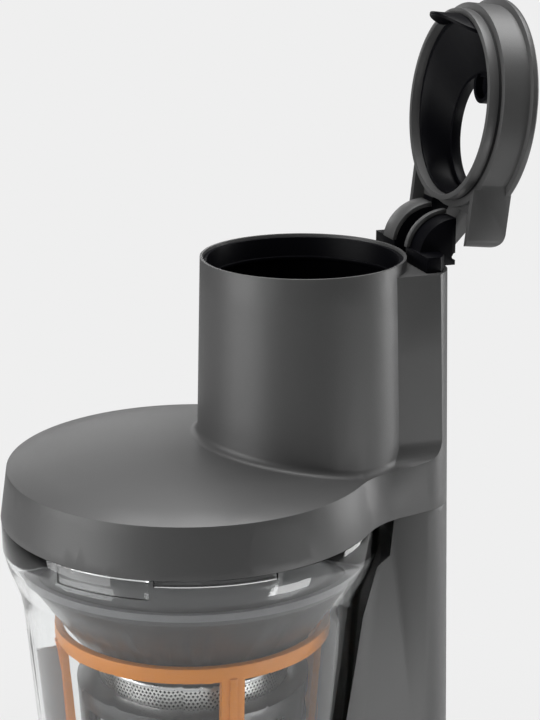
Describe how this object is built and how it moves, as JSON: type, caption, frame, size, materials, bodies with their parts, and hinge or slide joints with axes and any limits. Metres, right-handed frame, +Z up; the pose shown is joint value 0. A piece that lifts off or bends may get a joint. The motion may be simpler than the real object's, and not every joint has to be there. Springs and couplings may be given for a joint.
{
  "type": "cold press juicer",
  "caption": "Upright slow juicer: motor base and column, clear juicing bowl with auger, mesh strainer and wiper cage, twist-off lid with a wide hopper and an open flip lid.",
  "frame": {"origin": "on the surface the juicer stands on, under the axis of the bowl", "axes": "+Z up, -Y to the front where the spout is, +Y to the column at the back, +X to the dial"},
  "size_m": [0.185, 0.2522, 0.5813],
  "materials": {
    "housing": "fine grained dark grey",
    "black": "smooth black",
    "clear": "clear, polished",
    "frame_grey": "smooth dark grey",
    "orange": "satin orange",
    "mesh": "perforated sheet",
    "steel": "turned steel",
    "zinc": "cast light alloy",
    "core": "stacked core plates",
    "copper": "enamelled winding wire",
    "gear": "natural nylon",
    "seal": "soft grey",
    "rubber": "soft black",
    "board": "circuit board green"
  },
  "bodies": {
    "base": {"motor_housing": "housing", "bottom_cover": "black", "rubber_feet": "rubber", "cover_screws": "steel", "seat_pad": "rubber", "motor_mount": "zinc", "motor_stator": "core", "motor_windings": "copper", "motor_bell": "steel", "gearbox_case": "zinc", "gearbox_cover": "zinc", "counter_pin": "steel", "shaft_bearings": "steel", "shaft_seal": "seal", "mount_screws": "steel", "rotary_switch": "black", "power_inlet": "black", "control_board": "board", "lid_sensor": "black"},
    "rotor": {"rotor_core": "core", "motor_shaft": "steel", "cooling_fan": "black"},
    "counter": {"counter_gear": "gear"},
    "drive": {"output_gear": "gear", "drive_shaft": "steel"},
    "dial": {"control_dial": "black"},
    "bowl": {"juice_bowl": "clear", "bowl_seal": "seal", "idler_pin": "steel", "spout_bracket": "black", "cap_pin": "steel", "strainer_frame": "frame_grey", "strainer_rim": "steel", "strainer_mesh": "mesh"},
    "spout_cap": {"spout_cap": "black", "cap_seal": "seal"},
    "idler": {"idler_gear": "gear"},
    "auger": {"auger": "frame_grey"},
    "cage": {"wiper_cage": "orange", "wiper_blades": "seal"},
    "lid": {"drum_lid": "housing", "feed_chute": "black", "lid_funnel": "frame_grey", "lid_gasket": "seal", "lid_magnet": "steel", "hinge_block": "black", "hinge_barrel": "housing", "hinge_pin": "steel"},
    "flip_lid": {"flip_ring": "housing", "flip_liner": "black", "latch_tongue": "black", "lid_seal": "rubber", "arm_insert": "black"}
  },
  "joints": [
    {"name": "motor_spin", "type": "hinge", "parent": "base", "child": "rotor", "pos_m": [0, 0.00775, 0.06], "axis": [0, 0, 1], "continuous": true},
    {"name": "counter_spin", "type": "hinge", "parent": "base", "child": "counter", "pos_m": [0, 0.04375, 0.11], "axis": [0, 0, 1], "continuous": true},
    {"name": "drive_spin", "type": "hinge", "parent": "base", "child": "drive", "pos_m": [0, 0, 0.125], "axis": [0, 0, 1], "continuous": true},
    {"name": "dial_turn", "type": "hinge", "parent": "base", "child": "dial", "pos_m": [0.07, 0, 0.1], "axis": [1, 0, 0], "range_deg": [-40, 40]},
    {"name": "bowl_lift", "type": "slide", "parent": "base", "child": "bowl", "axis": [0, 0, 1], "range_m": [0, 0.05]},
    {"name": "auger_spin", "type": "hinge", "parent": "bowl", "child": "auger", "pos_m": [0, 0, 0.25], "axis": [0, 0, 1], "continuous": true},
    {"name": "idler_spin", "type": "hinge", "parent": "bowl", "child": "idler", "pos_m": [0, -0.0315, 0.2], "axis": [0, 0, 1], "continuous": true},
    {"name": "cage_spin", "type": "hinge", "parent": "bowl", "child": "cage", "pos_m": [0, 0, 0.25], "axis": [0, 0, 1], "continuous": true},
    {"name": "lid_turn", "type": "hinge", "parent": "bowl", "child": "lid", "pos_m": [0, 0, 0.36], "axis": [0, 0, 1], "range_deg": [0, 38]},
    {"name": "flip_hinge", "type": "hinge", "parent": "lid", "child": "flip_lid", "pos_m": [0, 0.1213, 0.467], "axis": [1, 0, 0], "range_deg": [0, 96.4]},
    {"name": "spout_cap_hinge", "type": "hinge", "parent": "bowl", "child": "spout_cap", "pos_m": [0, -0.094, 0.231], "axis": [-1, 0, 0], "range_deg": [0, 100]}
  ],
  "couplings": [
    {"joint": "counter_spin", "follows": "motor_spin", "ratio": -0.2},
    {"joint": "drive_spin", "follows": "motor_spin", "ratio": 0.05},
    {"joint": "auger_spin", "follows": "motor_spin", "ratio": 0.05},
    {"joint": "idler_spin", "follows": "motor_spin", "ratio": -0.045455},
    {"joint": "cage_spin", "follows": "motor_spin", "ratio": -0.015625}
  ]
}
